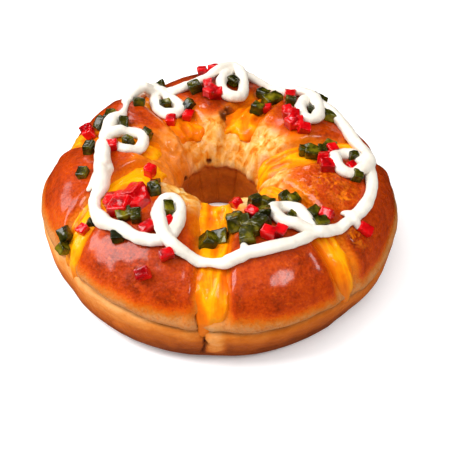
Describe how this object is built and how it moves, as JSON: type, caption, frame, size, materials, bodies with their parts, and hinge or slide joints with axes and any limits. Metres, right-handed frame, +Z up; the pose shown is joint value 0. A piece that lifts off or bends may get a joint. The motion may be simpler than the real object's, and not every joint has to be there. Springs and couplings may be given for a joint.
{
  "type": "roscon de reyes",
  "caption": "Ring-shaped festive brioche of rounded buns with a central hole, custard baked into the furrows, diced candied fruit and a looped line of white icing on its crown.",
  "frame": {"origin": "on the axis of the ring's central hole, at the flat underside it rests on", "axes": "+Z up along the ring's axis, -Y towards the front of the ring as it is seen, +X to the right of that"},
  "size_m": [0.2525, 0.2513, 0.0803],
  "materials": {
    "crust": "glazed golden-brown bread crust",
    "custard": "baked egg custard, moist",
    "icing": "piped sugar icing, satin",
    "cherry": "candied red fruit, glassy",
    "citron": "candied green fruit, glassy"
  },
  "bodies": {
    "root": {"brioche_ring": "crust", "custard_band_01": "custard", "custard_band_02": "custard", "custard_band_03": "custard", "custard_band_04": "custard", "custard_band_05": "custard", "custard_band_06": "custard", "custard_band_07": "custard", "icing_line": "icing", "cherry_01": "cherry", "cherry_02": "cherry", "cherry_03": "cherry", "cherry_04": "cherry", "cherry_05": "cherry", "cherry_06": "cherry", "cherry_07": "cherry", "cherry_08": "cherry", "cherry_09": "cherry", "cherry_10": "cherry", "cherry_11": "cherry", "cherry_12": "cherry", "cherry_13": "cherry", "cherry_14": "cherry", "cherry_15": "cherry", "cherry_16": "cherry", "cherry_17": "cherry", "cherry_18": "cherry", "cherry_19": "cherry", "cherry_20": "cherry", "cherry_21": "cherry", "citron_01": "citron", "citron_02": "citron", "citron_03": "citron", "citron_04": "citron", "citron_05": "citron", "citron_06": "citron", "citron_07": "citron", "citron_08": "citron", "citron_09": "citron", "citron_10": "citron", "citron_11": "citron", "citron_12": "citron", "citron_13": "citron", "citron_14": "citron", "citron_15": "citron", "citron_16": "citron", "citron_17": "citron", "citron_18": "citron", "citron_19": "citron", "citron_20": "citron", "citron_21": "citron", "citron_22": "citron", "citron_23": "citron", "citron_24": "citron", "citron_25": "citron", "citron_26": "citron", "citron_27": "citron", "citron_28": "citron", "citron_29": "citron", "citron_30": "citron"}
  },
  "joints": []
}
